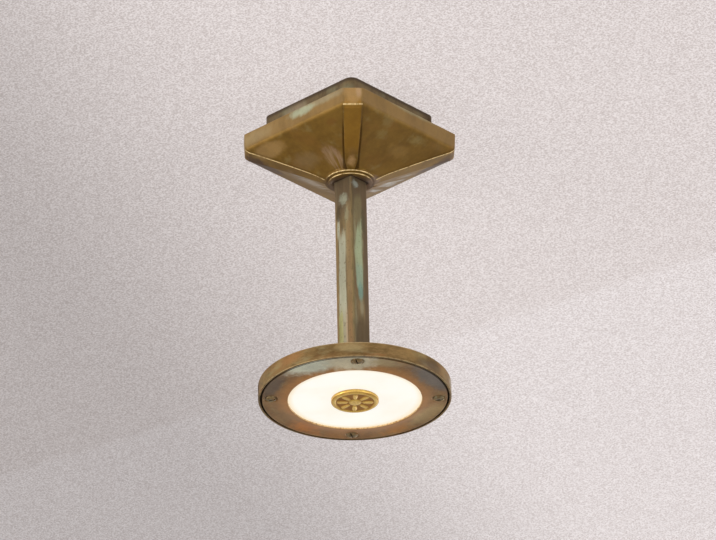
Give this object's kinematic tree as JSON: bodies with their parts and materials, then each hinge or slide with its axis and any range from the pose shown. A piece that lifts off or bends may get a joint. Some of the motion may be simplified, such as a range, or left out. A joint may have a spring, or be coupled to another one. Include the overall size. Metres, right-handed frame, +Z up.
{
  "type": "outdoor ceiling light",
  "caption": "Ceiling light in aged brass: square base, flared square canopy that slides on a square stem, and a round flat head with a glowing glass.",
  "frame": {"origin": "middle of the base's face on the ceiling", "axes": "+Z up into the ceiling, +X and +Y square to the sides of the base and canopy"},
  "size_m": [0.13, 0.13, 0.2194],
  "materials": {
    "base_brass": "aged dark",
    "canopy_brass": "aged, with verdigris",
    "stem_brass": "aged, with heavy verdigris",
    "head_brass": "aged, mottled",
    "ring_brass": "aged, mottled",
    "medallion_brass": "cast, rubbed bright",
    "screw_brass": "aged",
    "plain_brass": "turned",
    "zinc_steel": "zinc plated",
    "black_rubber": "matte",
    "opal_glass": "opal, lit",
    "board_white": "solder mask",
    "chip_yellow": "phosphor",
    "reflector_white": "matte",
    "driver_plastic": "matte",
    "terminal_plastic": "moulded",
    "brown_wire": "sleeve",
    "blue_wire": "sleeve",
    "green_wire": "sleeve",
    "red_wire": "sleeve",
    "black_wire": "sleeve"
  },
  "bodies": {
    "lamp": {"ceiling_seal": "black_rubber", "ceiling_base": "base_brass", "cable_grommet": "black_rubber", "hanger_bar": "zinc_steel", "hanger_screws": "zinc_steel", "upper_nipple": "plain_brass", "upper_washer": "zinc_steel", "upper_nut": "plain_brass", "upper_plug": "plain_brass", "terminal_block": "terminal_plastic", "terminal_screws": "zinc_steel", "led_driver": "driver_plastic", "driver_screws": "zinc_steel", "earth_screw": "plain_brass", "earth_lug": "zinc_steel", "live_wire": "brown_wire", "neutral_wire": "blue_wire", "earth_wire": "green_wire", "led_wire_red": "red_wire", "led_wire_black": "black_wire", "stem": "stem_brass", "lower_plug": "plain_brass", "lower_nipple": "plain_brass", "lower_washer": "zinc_steel", "lower_nut": "plain_brass", "head_pan": "head_brass", "led_board": "board_white", "led_chips": "chip_yellow", "board_screws": "zinc_steel", "reflector": "reflector_white", "cover_ring": "ring_brass", "cover_glass": "opal_glass", "glass_gasket": "black_rubber", "cover_screws": "screw_brass", "medallion": "medallion_brass", "medallion_pad": "black_rubber", "medallion_washers": "zinc_steel", "medallion_nut": "plain_brass"},
    "sliding_canopy": {"canopy": "canopy_brass", "canopy_top_ring": "canopy_brass", "canopy_grub_screw": "zinc_steel", "stem_seal": "black_rubber"}
  },
  "joints": [
    {"name": "canopy_slide", "type": "slide", "parent": "lamp", "child": "sliding_canopy", "axis": [0, 0, 1], "range_m": [-0.135, 0]}
  ]
}
